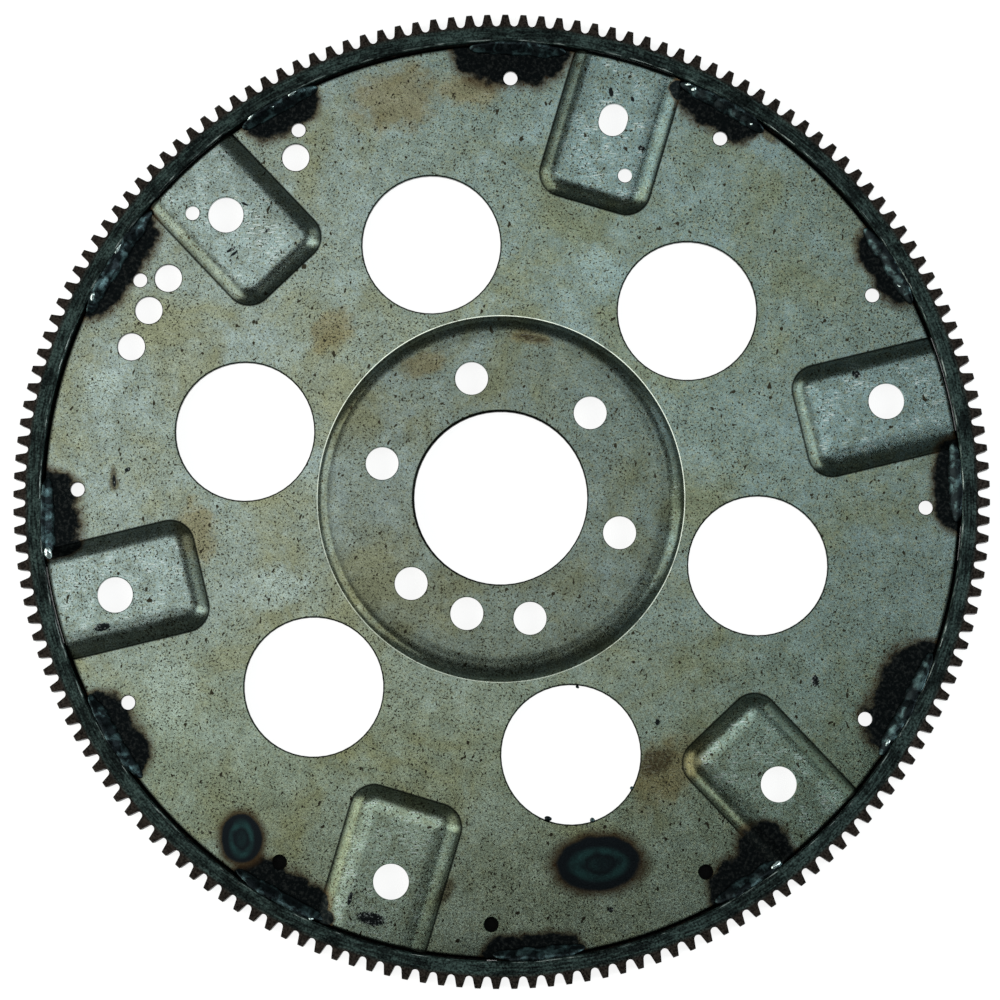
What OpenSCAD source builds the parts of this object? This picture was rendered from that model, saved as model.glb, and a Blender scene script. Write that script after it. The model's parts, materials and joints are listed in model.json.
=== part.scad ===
// Engine flexplate: a stamped steel disc with a welded starter ring gear and a balance weight.
// It lies flat with its torque converter side up. The origin is on the crankshaft axis,
// level with the ring gear's lower face. Millimetres and degrees.

/* [Ring gear] */
// Number of starter teeth
ring_teeth = 168; // [130:1:190]
// Diameter over the tooth tips
ring_tip_d = 358.8; // [354:0.1:370]
// Depth of a tooth from tip to root
tooth_depth = 4.4; // [3.5:0.1:5]
// Width of a tooth at its tip
tooth_tip_w = 2.1; // [1.6:0.1:2.6]
// Lean of a tooth flank from the radial line
flank_angle = 15; // [10:0.5:18]
// Width of the ring's body between its bore and the tooth roots
ring_body_w = 5.7; // [5:0.1:9]
// Height of the ring along its axis
ring_h = 10.2; // [9:0.1:14]
// Chamfer on the ring's edges
ring_chamfer = 0.5; // [0.2:0.1:0.8]
// Turn of the first tooth from +X
ring_turn = -0.55; // [-1:0.05:1]

/* [Disc] */
// Thickness of the sheet
sheet_t = 2.5; // [2:0.1:3]
// Gap between the disc and the ring
rim_gap = 0.4; // [0.2:0.1:0.8]
// Depth of the web's top face below the ring's top face
web_drop = 3; // [2.5:0.1:4]
// Rounding of the disc's sheared outer edge
rim_round = 1; // [0.4:0.1:1.4]
// Bevel on the upper edge of small punched holes
edge_break = 0.3; // [0.1:0.1:0.5]

/* [Raised centre] */
// Diameter at the foot of the raised centre
centre_d = 134.8; // [128:0.1:138]
// Height of the raised centre above the web
centre_h = 2.8; // [1.5:0.1:4]
// Width of the rounded step around it
centre_step_w = 6; // [5:0.1:8]
// Diameter of the pilot bore
pilot_d = 63.5; // [56:0.1:70]
// Rounding of the pilot bore's upper edge
pilot_round = 0.6; // [0.2:0.1:1]
// Number of crankshaft bolt holes
crank_holes = 6; // [4:1:8]
// Pitch circle of the crankshaft bolt holes
crank_pcd = 90.93; // [86:0.01:98]
// Diameter of a crankshaft bolt hole
crank_hole_d = 12.1; // [10:0.1:13]
// Angle of the first crankshaft bolt hole
crank_first = 43.65; // [30:0.05:60]
// Radius at which the locating hole sits, midway between two bolt holes
locator_r = 44.2; // [43:0.1:48]

/* [Converter pads] */
// Number of raised pads
pads = 6; // [6:1:6]
// Angle of the first pad
pad_first = 13.46; // [10:0.01:18]
// Width of a pad at its foot
pad_w = 42; // [38:0.1:46]
// Radius at which a pad's inner end starts
pad_start_r = 113.4; // [108:0.1:122]
// Height of a pad above the web
pad_h = 2.8; // [1.5:0.1:2.9]
// Width of the rounded slope around a pad
pad_slope_w = 7; // [6:0.1:8.5]
// Distance by which forming draws a pad's outer end in from the rim
pad_draw_in = 0.3; // [0.2:0.1:1]
// Corner radius of a pad's flat top
pad_top_corner_r = 2; // [1:0.1:4]
// Distance from the disc's edge to the middle of a converter bolt hole
pad_hole_inset = 22.85; // [20:0.05:26]
// Diameter of a converter bolt hole
pad_hole_d = 13.1; // [11:0.1:14]
// Turn of the bolt holes from the middle of their pads
pad_hole_turn = 0.6; // [0:0.1:1]
// Width of the slotted converter hole
slot_w = 10.4; // [9:0.1:12]
// Length of the slotted converter hole
slot_l = 12.2; // [12.1:0.1:16]
// Diameter of the gauge holes in two of the pads
gauge_hole_d = 5.2; // [4:0.1:5.4]
// Distance of a gauge hole from the middle line of its pad
gauge_side = 10; // [8:0.1:11]

/* [Holes in the web] */
// Number of large lightening holes
light_holes = 6; // [6:1:6]
// Pitch circle of the lightening holes
light_pcd = 195.1; // [190:0.1:198]
// Diameter of a lightening hole
light_d = 51; // [40:0.1:53]
// Bevel on the upper edge of a lightening hole
light_break = 0.6; // [0.2:0.1:1]
// Angle of the first lightening hole
light_first = 45.25; // [42:0.05:48]
// Number of tooling holes near the rim
tool_holes = 12; // [12:1:12]
// Distance from the disc's edge to the middle of a tooling hole
tool_inset = 12.8; // [11:0.1:15]
// Diameter of a tooling hole
tool_d = 5.2; // [4:0.1:6]
// Angle of the first tooling hole
tool_first = 28.7; // [27:0.1:30]
// Distance from the disc's edge to the middle of a drilled balance hole
balance_inset = 21.2; // [19.5:0.1:24]
// Diameter of a drilled balance hole
balance_d = 10.1; // [8:0.1:11]

/* [Ring welds] */
// Leg of a weld bead along the disc
weld_disc_leg = 4.6; // [3:0.1:6]
// Leg of a weld bead up the ring
weld_ring_leg = 2.7; // [1.8:0.1:2.8]
// Radius of a bead's crown as a share of its chord
weld_crown = 0.75; // [0.7:0.01:1.2]

/* [Balance weight] */
// Thickness of the weight
weight_t = 4; // [2.5:0.1:4.5]
// Width of the weight from its inner to its outer edge
weight_w = 24.7; // [21:0.1:27]
// Distance from the disc's edge to the weight's outer edge
weight_inset = 2.9; // [2:0.1:6]
// Angle that the weight covers
weight_span = 69; // [62:0.1:69.5]
// Angle of the weight's middle
weight_mid = -91.3; // [-92:0.1:-90.5]
// Diameter of the notch that clears a converter bolt
weight_notch_d = 24; // [18:0.1:28]
// Leg of the beads that hold the weight
weight_weld_leg = 3.4; // [2:0.1:3.6]
// Length of the bead at each end of the weight
end_weld_l = 17; // [8:0.5:20]
// Angle that the bead on the inner edge covers
inner_weld_span = 9; // [5:0.5:14]
// Angle of the middle of the bead on the inner edge
inner_weld_mid = -75; // [-82:0.5:-70]

/* [Hidden] */
$fn = 120;
// Length by which cutters pass through what they cut
past = 2;
// Width by which the web runs into the foot of a raised face
lap = 0.5;

ring_tip_r = ring_tip_d / 2;
ring_root_r = ring_tip_r - tooth_depth;
ring_bore_r = ring_root_r - ring_body_w;
disc_r = ring_bore_r - rim_gap;
centre_r = centre_d / 2;
pilot_r = pilot_d / 2;

// Radii at which the holes near the rim lie
pad_hole_r = disc_r - pad_hole_inset;
tool_r = disc_r - tool_inset;
balance_r = disc_r - balance_inset;

// Heights of the web's faces above the ring's lower face
web_top = ring_h - web_drop;
web_z = web_top - sheet_t;

// Half the gap between two tooth tips, and the round at the bottom of the gap
tip_half_gap = PI * ring_tip_r / ring_teeth - tooth_tip_w / 2;
root_round_r = (tip_half_gap - tooth_depth * tan(flank_angle))
    / (1 / cos(flank_angle) - tan(flank_angle));
gap_centre_r = ring_root_r + root_round_r;

pad_corner_r = pad_top_corner_r + pad_slope_w;

// Place of the locating hole, counted from the first crankshaft bolt hole
locator_place = -2.5;

// The pad with the slotted hole has a gauge hole near its inner end, this far in from the foot
slot_pad = 1;
near_gauge_run = 14;
// The pad whose gauge hole lies outside its bolt hole, this far beyond it
far_gauge_pad = 2;
far_gauge_run = 9;
// The pad whose bolt hole falls under the weight and needs the notch
notch_pad = 4;

// Drilled balance holes, in degrees from the middle of the pad that they lie beside
balance_pad = 2;
balance_turns = [-12.5, 12.9, 18.3, 24.1];

// Ring welds in pairs, one on each side of every pad:
// degrees from the pad's foot to the bead, and degrees that the bead covers
weld_after_gap = [5.6, 2.1, 1.1, 5.6, 9.6, 6.1];
weld_after_span = [9, 9.5, 12.8, 10.3, 9, 11.8];
weld_before_gap = [0.4, 0.4, 2.5, 0.4, 0.4, 0.4];
weld_before_span = [7.6, 10.1, 8.5, 7.1, 9.6, 6.6];
weld_in_r = ring_bore_r - weld_disc_leg;
pad_half_angle = asin(pad_w / 2 / weld_in_r);

weight_out_r = disc_r - weight_inset;
weight_in_r = weight_out_r - weight_w;
weight_mid_r = (weight_in_r + weight_out_r) / 2;

weld_names = [for (i = [1:2 * pads]) str("ring_weld_", i)];

disc_colour = [0.5, 0.53, 0.49];
ring_colour = [0.13, 0.16, 0.16];
weld_colour = [0.09, 0.11, 0.12];
weight_colour = [0.16, 0.17, 0.17];

function pad_angle(k) = pad_first + k * 360 / pads;

// Section of the sheet where it climbs from the web to a raised face: sharp at the foot
// and rounded into the top. The foot is at x = 0 and the web's lower face at y = 0.
module step_section(h, w) {
    crown_r = (w * w + h * h) / (2 * h);
    intersection() {
        translate([w, sheet_t + h - crown_r]) difference() {
            circle(crown_r);
            circle(crown_r - sheet_t);
        }
        square([w, sheet_t + h]);
    }
}

// Cutter that rounds the upper right corner of a section, with the corner at the origin
module corner_cut(r) {
    translate([-r, -r]) difference() {
        square(r + past);
        circle(r);
    }
}

// Half section of a disc with a rounded upper edge at its outer radius
module rim_section(from_r, to_r, h) {
    difference() {
        translate([from_r, 0]) square([to_r - from_r, h]);
        translate([to_r, h]) corner_cut(rim_round);
    }
}

// Half section of the web and the raised centre
module disc_section() {
    rim_section(centre_r - lap, disc_r, sheet_t);
    translate([centre_r, 0]) mirror([1, 0]) step_section(centre_h, centre_step_w);
    difference() {
        translate([pilot_r, centre_h]) square([centre_r - centre_step_w - pilot_r, sheet_t]);
        translate([pilot_r, centre_h + sheet_t]) mirror([1, 0]) corner_cut(pilot_round);
    }
}

// Outline of the opening that the web has under a pad, open at the rim
module pad_opening() {
    half_w = pad_w / 2 - lap;
    corner_r = pad_corner_r - lap;
    corner_x = pad_start_r + pad_corner_r;
    corner_y = half_w - corner_r;
    translate([corner_x, -half_w]) square([disc_r + past - corner_x, 2 * half_w]);
    translate([corner_x - corner_r, -corner_y]) square([corner_r, 2 * corner_y]);
    for (side = [-1, 1]) translate([corner_x, side * corner_y]) circle(corner_r);
}

// Section across a pad's edge, from its foot to the line on which its corners turn
module pad_edge_section() {
    step_section(pad_h, pad_slope_w);
    translate([pad_slope_w, pad_h]) square([pad_top_corner_r, sheet_t]);
}

// The same section in a corner, measured from the corner's own centre
module pad_corner_section() {
    translate([pad_corner_r, 0]) mirror([1, 0]) step_section(pad_h, pad_slope_w);
    translate([0, pad_h]) square([pad_top_corner_r, sheet_t]);
}

// Section right across a pad
module pad_section() {
    flat_half_w = pad_w / 2 - pad_corner_r;
    for (side = [0, 1]) mirror([side, 0]) translate([-pad_w / 2, 0]) pad_edge_section();
    translate([-flat_half_w, pad_h]) square([2 * flat_half_w, sheet_t]);
}

// One raised pad along +X: its body, its inner end and two corners
module pad_shell() {
    corner_x = pad_start_r + pad_corner_r;
    corner_y = pad_w / 2 - pad_corner_r;
    translate([corner_x, 0, 0]) rotate([90, 0, 90]) linear_extrude(disc_r + past - corner_x) pad_section();
    translate([pad_start_r, corner_y, 0]) rotate([90, 0, 0]) linear_extrude(2 * corner_y) pad_edge_section();
    for (side = [0, 1]) mirror([0, side, 0]) translate([corner_x, -corner_y, 0]) rotate([0, 0, 180])
        rotate_extrude(angle = 90) pad_corner_section();
}

// The pad with its outer end cut round beside the rim
module pad() {
    intersection() {
        pad_shell();
        rotate_extrude() rim_section(0, disc_r - pad_draw_in, sheet_t + pad_h);
    }
}

// Cutter for a punched hole with a bevelled upper edge; lift is the height of its face above the web
module punch(d, lift, bevel = edge_break) {
    translate([0, 0, lift - past]) cylinder(h = sheet_t + 2 * past, d = d);
    translate([0, 0, lift + sheet_t - bevel]) cylinder(h = 2 * bevel, d1 = d, d2 = d + 4 * bevel);
}

// The same hole at a radius and an angle on the disc
module punch_at(r, angle, d, lift) {
    rotate(angle) translate([r, 0, 0]) punch(d, lift);
}

module centre_holes() {
    step = 360 / crank_holes;
    for (i = [0:crank_holes - 1]) punch_at(crank_pcd / 2, crank_first + i * step, crank_hole_d, centre_h);
    punch_at(locator_r, crank_first + locator_place * step, crank_hole_d, centre_h);
}

// A radial slot with round ends
module slot_cut() {
    reach = (slot_l - slot_w) / 2;
    rotate(pad_angle(slot_pad)) translate([pad_hole_r, 0, 0]) {
        for (side = [-1, 1]) translate([side * reach, 0, 0]) punch(slot_w, pad_h);
        translate([-reach, -slot_w / 2, pad_h - past]) cube([2 * reach, slot_w, sheet_t + 2 * past]);
    }
}

module pad_holes() {
    for (k = [0:pads - 1]) if (k != slot_pad)
        punch_at(pad_hole_r, pad_angle(k) + pad_hole_turn, pad_hole_d, pad_h);
    slot_cut();
    rotate(pad_angle(slot_pad)) translate([pad_start_r + near_gauge_run, -gauge_side, 0])
        punch(gauge_hole_d, pad_h);
    rotate(pad_angle(far_gauge_pad)) translate([pad_hole_r + far_gauge_run, gauge_side, 0])
        punch(gauge_hole_d, pad_h);
}

module web_holes() {
    for (i = [0:light_holes - 1]) rotate(light_first + i * 360 / light_holes)
        translate([light_pcd / 2, 0, 0]) punch(light_d, 0, light_break);
    for (i = [0:tool_holes - 1]) punch_at(tool_r, tool_first + i * 360 / tool_holes, tool_d, 0);
    for (turn = balance_turns) punch_at(balance_r, pad_angle(balance_pad) + turn, balance_d, 0);
}

// The stamped disc, one piece of sheet with a raised centre and raised pads
module disc() {
    color(disc_colour) translate([0, 0, web_z]) difference() {
        union() {
            difference() {
                rotate_extrude() disc_section();
                for (k = [0:pads - 1]) rotate(pad_angle(k)) translate([0, 0, -past])
                    linear_extrude(sheet_t + 2 * past) pad_opening();
            }
            for (k = [0:pads - 1]) rotate(pad_angle(k)) pad();
        }
        centre_holes();
        pad_holes();
        web_holes();
    }
}

// Outline of the gap between two teeth, along +X
module tooth_gap() {
    foot_x = gap_centre_r - root_round_r * sin(flank_angle);
    foot_y = root_round_r * cos(flank_angle);
    mouth_x = ring_tip_r + past;
    mouth_y = foot_y + (mouth_x - foot_x) * tan(flank_angle);
    translate([gap_centre_r, 0]) circle(root_round_r);
    polygon([[foot_x, -foot_y], [mouth_x, -mouth_y], [mouth_x, mouth_y], [foot_x, foot_y]]);
}

// Section of the ring blank with chamfered edges
module ring_section() {
    c = ring_chamfer;
    polygon([
        [ring_bore_r, c], [ring_bore_r + c, 0], [ring_tip_r - c, 0], [ring_tip_r, c],
        [ring_tip_r, ring_h - c], [ring_tip_r - c, ring_h], [ring_bore_r + c, ring_h], [ring_bore_r, ring_h - c]
    ]);
}

// The starter ring gear
module ring_gear() {
    color(ring_colour) difference() {
        rotate_extrude() ring_section();
        for (i = [0:ring_teeth - 1]) rotate(ring_turn + (i + 0.5) * 360 / ring_teeth) translate([0, 0, -past])
            linear_extrude(ring_h + 2 * past) tooth_gap();
    }
}

// Section of a weld bead in a square corner at the origin, with legs a along x and b along y
module bead_section(a, b) {
    chord = sqrt(a * a + b * b);
    crown_r = weld_crown * chord;
    drop = sqrt(crown_r * crown_r - chord * chord / 4);
    intersection() {
        square([a + crown_r, b + crown_r]);
        translate([a / 2 - drop * b / chord, b / 2 - drop * a / chord]) circle(crown_r);
    }
}

// A bead in the corner between the web and the ring. Odd beads follow a pad, even ones come before the next.
module ring_weld(i) {
    k = floor((i + 1) / 2) % pads;
    after = i % 2 == 0;
    span = after ? weld_after_span[k] : weld_before_span[k];
    turn = after
        ? pad_angle(k) + pad_half_angle + weld_after_gap[k]
        : pad_angle(k) - pad_half_angle - weld_before_gap[k] - span;
    color(weld_colour) rotate(turn) rotate_extrude(angle = span)
        translate([ring_bore_r, web_top]) mirror([1, 0]) bead_section(weld_disc_leg, weld_ring_leg);
}

// The balance weight under the web, an arc of plate with a notch for a converter bolt
module balance_weight() {
    color(weight_colour) translate([0, 0, web_z - weight_t]) difference() {
        rotate(weight_mid - weight_span / 2) rotate_extrude(angle = weight_span)
            translate([weight_in_r, 0]) square([weight_out_r - weight_in_r, weight_t]);
        rotate(pad_angle(notch_pad) + pad_hole_turn) translate([0, 0, -past]) {
            translate([pad_hole_r, 0, 0]) cylinder(h = weight_t + 2 * past, d = weight_notch_d);
            translate([weight_in_r - weight_notch_d, -weight_notch_d / 2, 0])
                cube([pad_hole_r - weight_in_r + weight_notch_d, weight_notch_d, weight_t + 2 * past]);
        }
    }
}

// A bead across one end of the weight; side is -1 for the left end and 1 for the right
module weight_end_weld(side) {
    color(weld_colour) rotate(weight_mid + side * weight_span / 2) mirror([0, side < 0 ? 1 : 0, 0])
        translate([weight_mid_r + end_weld_l / 2, 0, web_z]) rotate([-90, 0, 90]) linear_extrude(end_weld_l)
            bead_section(weight_weld_leg, weight_weld_leg);
}

module weight_weld_left() {
    weight_end_weld(-1);
}

module weight_weld_right() {
    weight_end_weld(1);
}

// A bead along the weight's inner edge
module weight_weld_inner() {
    color(weld_colour) rotate(inner_weld_mid - inner_weld_span / 2) rotate_extrude(angle = inner_weld_span)
        translate([weight_in_r, web_z]) rotate(180) bead_section(weight_weld_leg, weight_weld_leg);
}

disc();
ring_gear();
balance_weight();
for (i = [0:2 * pads - 1]) ring_weld(i);
weight_weld_left();
weight_weld_right();
weight_weld_inner();
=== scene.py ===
import json
import math
import random

import bpy
from mathutils import Matrix, Vector

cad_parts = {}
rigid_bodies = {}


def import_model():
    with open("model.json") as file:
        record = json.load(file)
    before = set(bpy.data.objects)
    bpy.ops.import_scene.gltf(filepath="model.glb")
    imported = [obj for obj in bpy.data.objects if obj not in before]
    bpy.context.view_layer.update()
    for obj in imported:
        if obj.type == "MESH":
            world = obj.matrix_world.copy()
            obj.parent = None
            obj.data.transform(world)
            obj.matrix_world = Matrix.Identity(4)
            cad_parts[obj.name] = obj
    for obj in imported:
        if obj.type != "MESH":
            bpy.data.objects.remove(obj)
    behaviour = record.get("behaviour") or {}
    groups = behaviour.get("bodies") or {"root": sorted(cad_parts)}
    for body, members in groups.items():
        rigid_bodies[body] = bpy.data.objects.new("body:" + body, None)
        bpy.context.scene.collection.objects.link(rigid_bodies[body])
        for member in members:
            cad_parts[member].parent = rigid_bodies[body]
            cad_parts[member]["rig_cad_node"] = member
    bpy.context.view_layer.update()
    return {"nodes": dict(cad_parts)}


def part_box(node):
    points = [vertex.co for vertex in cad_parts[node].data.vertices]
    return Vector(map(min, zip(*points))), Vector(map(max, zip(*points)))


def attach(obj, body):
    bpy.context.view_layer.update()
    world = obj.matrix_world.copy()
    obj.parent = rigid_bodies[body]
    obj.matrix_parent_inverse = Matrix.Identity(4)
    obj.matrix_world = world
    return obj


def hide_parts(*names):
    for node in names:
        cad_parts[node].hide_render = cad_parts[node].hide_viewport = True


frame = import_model()
cadNodes = frame["nodes"]
mm = 0.001
print("frame loaded,", len(cadNodes), "nodes")

# heights in metres and radii in mm, as in the solids
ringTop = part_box("ring_gear")[1].z
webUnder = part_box("disc")[0].z
sheetThickness = 2.5 * mm
webTop = webUnder + sheetThickness
jointGap = 0.4             # mm between the disc and the ring
toothDepth = 4.4
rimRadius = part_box("disc")[1].x / mm
ringBore = rimRadius + jointGap
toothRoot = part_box("ring_gear")[1].x / mm - toothDepth
centreFoot = 67.4
centreShoulder = 61.5


# selecting and applying

def deselectAll():
    if bpy.context.object and bpy.context.object.mode != "OBJECT":
        bpy.ops.object.mode_set(mode="OBJECT")
    bpy.ops.object.select_all(action="DESELECT")


def makeActive(piece):
    deselectAll()
    piece.select_set(True)
    bpy.context.view_layer.objects.active = piece


def applyModifier(piece, kind, name, **settings):
    makeActive(piece)
    modifier = piece.modifiers.new(name, kind)
    for key, value in settings.items():
        setattr(modifier, key, value)
    bpy.ops.object.modifier_apply(modifier=name)


def placeInMesh(piece):
    makeActive(piece)
    bpy.ops.object.transform_apply(location=True, rotation=True, scale=True)


def finishPiece(piece, material, slotName, *stoodFor):
    piece.data.materials.clear()
    piece.data.materials.append(material)
    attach(piece, "root")
    if stoodFor:
        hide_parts(*stoodFor)


# a merged copy of a solid, so that its round faces can be shaded smooth
def smoothCopy(nodeName, pieceName, smoothAngle):
    source = cadNodes[nodeName]
    makeActive(source)
    bpy.ops.object.duplicate()
    piece = bpy.context.object
    piece.name = pieceName
    piece.data.name = pieceName
    del piece["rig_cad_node"]
    piece.parent = None
    bpy.ops.object.mode_set(mode="EDIT")
    bpy.ops.mesh.select_all(action="SELECT")
    bpy.ops.mesh.remove_doubles(threshold=0.002 * mm)
    bpy.ops.object.mode_set(mode="OBJECT")
    if piece.data.has_custom_normals:
        bpy.ops.mesh.customdata_custom_splitnormals_clear()
    bpy.ops.object.shade_smooth_by_angle(angle=math.radians(smoothAngle))
    return piece


# node helpers for the finishes

def newFinish(name, metallic, roughness):
    finish = bpy.data.materials.new(name)
    finish.use_nodes = True
    tree = finish.node_tree
    shader = tree.nodes["Principled BSDF"]
    shader.inputs["Metallic"].default_value = metallic
    shader.inputs["Roughness"].default_value = roughness
    return finish, tree, shader


def feed(tree, socket, value):
    if isinstance(value, bpy.types.NodeSocket):
        tree.links.new(value, socket)
    elif isinstance(value, tuple) and len(value) == 3 and socket.type == "RGBA":
        socket.default_value = (*value, 1)
    else:
        socket.default_value = value


def calc(tree, operation, *values):
    node = tree.nodes.new("ShaderNodeMath")
    node.operation = operation
    for socket, value in zip(node.inputs, values):
        feed(tree, socket, value)
    return node.outputs[0]


def fade(tree, value, start, end, low=0.0, high=1.0):
    node = tree.nodes.new("ShaderNodeMapRange")
    node.interpolation_type = "SMOOTHSTEP"
    sockets = ("Value", "From Min", "From Max", "To Min", "To Max")
    for key, item in zip(sockets, (value, start, end, low, high)):
        feed(tree, node.inputs[key], item)
    return node.outputs["Result"]


def blendColour(tree, factor, below, above, mode="MIX"):
    node = tree.nodes.new("ShaderNodeMix")
    node.data_type = "RGBA"
    node.blend_type = mode
    feed(tree, node.inputs[0], factor)
    feed(tree, node.inputs[6], below)
    feed(tree, node.inputs[7], above)
    return node.outputs[2]


def grain(tree, coords, perMm, detail=2.0, roughness=0.5, distortion=0.0):
    node = tree.nodes.new("ShaderNodeTexNoise")
    tree.links.new(coords, node.inputs["Vector"])
    node.inputs["Scale"].default_value = perMm
    node.inputs["Detail"].default_value = detail
    node.inputs["Roughness"].default_value = roughness
    node.inputs["Distortion"].default_value = distortion
    return node.outputs["Fac"]


def stretched(tree, coords, scale, turn=0.0):
    node = tree.nodes.new("ShaderNodeMapping")
    tree.links.new(coords, node.inputs["Vector"])
    node.inputs["Scale"].default_value = scale
    node.inputs["Rotation"].default_value = (0, 0, math.radians(turn))
    return node.outputs["Vector"]


# a noise value spread evenly to both sides of zero
def swing(tree, value, size):
    return calc(tree, "MULTIPLY_ADD", value, 2.0 * size, -size)


def distance(tree, across, along):
    square = calc(tree, "MULTIPLY", across, across)
    return calc(tree, "SQRT", calc(tree, "MULTIPLY_ADD", along, along, square))


# how far a value is from a line at a given place
def offLine(tree, value, place):
    return calc(tree, "ABSOLUTE", calc(tree, "SUBTRACT", value, place))


def roughen(tree, shader, height, strength, depth, normal=None):
    bump = tree.nodes.new("ShaderNodeBump")
    bump.inputs["Strength"].default_value = strength
    bump.inputs["Distance"].default_value = depth * mm
    tree.links.new(height, bump.inputs["Height"])
    if normal:
        tree.links.new(normal, bump.inputs["Normal"])
    tree.links.new(bump.outputs["Normal"], shader.inputs["Normal"])
    return bump.outputs["Normal"]


# object coordinates in millimetres, with the radius and the angle round the plate;
# the grain is turned out of the sheet's plane, so that no rows show in it
grainTilt = (0.6, 0.9, 0.4)


def plateCoords(tree):
    where = tree.nodes.new("ShaderNodeTexCoord").outputs["Object"]
    inMm = tree.nodes.new("ShaderNodeVectorMath")
    inMm.operation = "SCALE"
    tree.links.new(where, inMm.inputs[0])
    inMm.inputs["Scale"].default_value = 1 / mm
    apart = tree.nodes.new("ShaderNodeSeparateXYZ")
    tree.links.new(inMm.outputs["Vector"], apart.inputs[0])
    x, y, z = apart.outputs
    radius = distance(tree, x, y)
    angle = calc(tree, "DEGREES", calc(tree, "ARCTAN2", y, x))
    tilted = tree.nodes.new("ShaderNodeMapping")
    tree.links.new(inMm.outputs["Vector"], tilted.inputs["Vector"])
    tilted.inputs["Rotation"].default_value = grainTilt
    return {
        "at": inMm.outputs["Vector"],
        "grainAt": tilted.outputs["Vector"],
        "x": x,
        "y": y,
        "z": z,
        "radius": radius,
        "angle": angle,
    }


def angleFrom(tree, spot, middle):
    away = calc(tree, "WRAP", calc(tree, "SUBTRACT", spot["angle"], middle), 180.0, -180.0)
    return calc(tree, "ABSOLUTE", away)


# an oval field on the face: 0 in its middle, 1 on its edge, the same at every height
ovalDepth = 1000


def ovalField(tree, spot, oval):
    across = tree.nodes.new("ShaderNodeMapping")
    across.vector_type = "TEXTURE"
    tree.links.new(spot["at"], across.inputs["Vector"])
    across.inputs["Location"].default_value = (*oval["centre"], 0)
    across.inputs["Rotation"].default_value = (0, 0, math.radians(oval["turn"]))
    across.inputs["Scale"].default_value = (*oval["half"], ovalDepth)
    length = tree.nodes.new("ShaderNodeVectorMath")
    length.operation = "LENGTH"
    tree.links.new(across.outputs["Vector"], length.inputs[0])
    return length.outputs["Value"]


def nearestOval(tree, spot, ovals):
    field = ovalField(tree, spot, ovals[0])
    for oval in ovals[1:]:
        field = calc(tree, "MINIMUM", field, ovalField(tree, spot, oval))
    return field


# millimetres outwards from the foot of the nearest pad, negative on the pad
padShape = {
    "first": 13.46,          # degrees
    "halfPitch": 30.0,
    "startRadius": 113.4,    # mm
    "halfWidth": 21.0,
    "corner": 9.0,
    "wall": 7.0,
}


def padField(tree, spot):
    corner = padShape["corner"]
    halfPitch = padShape["halfPitch"]
    turned = calc(tree, "SUBTRACT", spot["angle"], padShape["first"])
    turned = calc(tree, "RADIANS", calc(tree, "WRAP", turned, halfPitch, -halfPitch))
    along = calc(tree, "MULTIPLY", spot["radius"], calc(tree, "COSINE", turned))
    aside = calc(tree, "ABSOLUTE", calc(tree, "MULTIPLY", spot["radius"], calc(tree, "SINE", turned)))
    inward = calc(tree, "SUBTRACT", padShape["startRadius"] + corner, along)
    aside = calc(tree, "SUBTRACT", aside, padShape["halfWidth"] - corner)
    outside = distance(tree, calc(tree, "MAXIMUM", inward, 0.0), calc(tree, "MAXIMUM", aside, 0.0))
    inside = calc(tree, "MINIMUM", calc(tree, "MAXIMUM", inward, aside), 0.0)
    return calc(tree, "SUBTRACT", calc(tree, "ADD", outside, inside), corner)


# welds between the disc and the ring: degrees that the bead covers, degrees that the soot covers,
# and how far the soot reaches in from the rim in mm
ringWelds = [
    {"bead": (26.5, 35.5), "soot": (25.4, 36.6), "reach": 9.6},
    {"bead": (55.5, 65.6), "soot": (54.6, 66.4), "reach": 11.2},
    {"bead": (83.0, 92.5), "soot": (81.3, 96.2), "reach": 14.4},
    {"bead": (115.0, 123.5), "soot": (114.2, 124.7), "reach": 11.2},
    {"bead": (142.0, 154.8), "soot": (140.8, 156.2), "reach": 10.4},
    {"bead": (178.5, 187.0), "soot": (176.3, 187.4), "reach": 13.0},
    {"bead": (206.5, 216.8), "soot": (205.3, 217.4), "reach": 11.2},
    {"bead": (236.0, 246.3), "soot": (234.6, 247.7), "reach": 12.0},
    {"bead": (270.5, 279.5), "soot": (267.7, 280.3), "reach": 8.6},
    {"bead": (299.0, 307.0), "soot": (297.6, 309.7), "reach": 12.4},
    {"bead": (327.0, 338.8), "soot": (326.2, 341.2), "reach": 14.6},
    {"bead": (358.0, 366.0), "soot": (355.7, 367.6), "reach": 9.2},
]

# marks on the disc's upper face: centre and half size in mm, turn in degrees
heatMarks = [
    {"centre": (-95.0, -124.9), "half": (8.0, 9.0), "turn": 0, "ring": (3.7, 5.7)},
    {"centre": (35.7, -134.1), "half": (15.6, 10.4), "turn": 3, "ring": (8.8, 5.0)},
]
sootyCorners = [
    {"centre": (95.4, -128.0), "half": (9.6, 9.2), "turn": 20},
    {"centre": (66.0, 151.4), "half": (3.4, 3.6), "turn": 0},
    {"centre": (-64.6, -154.0), "half": (3.6, 3.4), "turn": 30},
    {"centre": (-162.0, -18.4), "half": (7.5, 3.2), "turn": 14},
]
rustPatches = [
    {"centre": (-38.9, 148.4), "half": (18, 13), "turn": 10},
    {"centre": (-12.0, 152.0), "half": (13, 7), "turn": 0},
    {"centre": (60.0, -100.0), "half": (17, 11), "turn": 35},
    {"centre": (10.7, 59.4), "half": (8, 3), "turn": -8},
    {"centre": (-28.6, 49.5), "half": (9, 5), "turn": 20},
    {"centre": (-62.0, 62.0), "half": (7, 10), "turn": -35},
    {"centre": (-112.0, -12.0), "half": (8, 12), "turn": 15},
]
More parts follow.
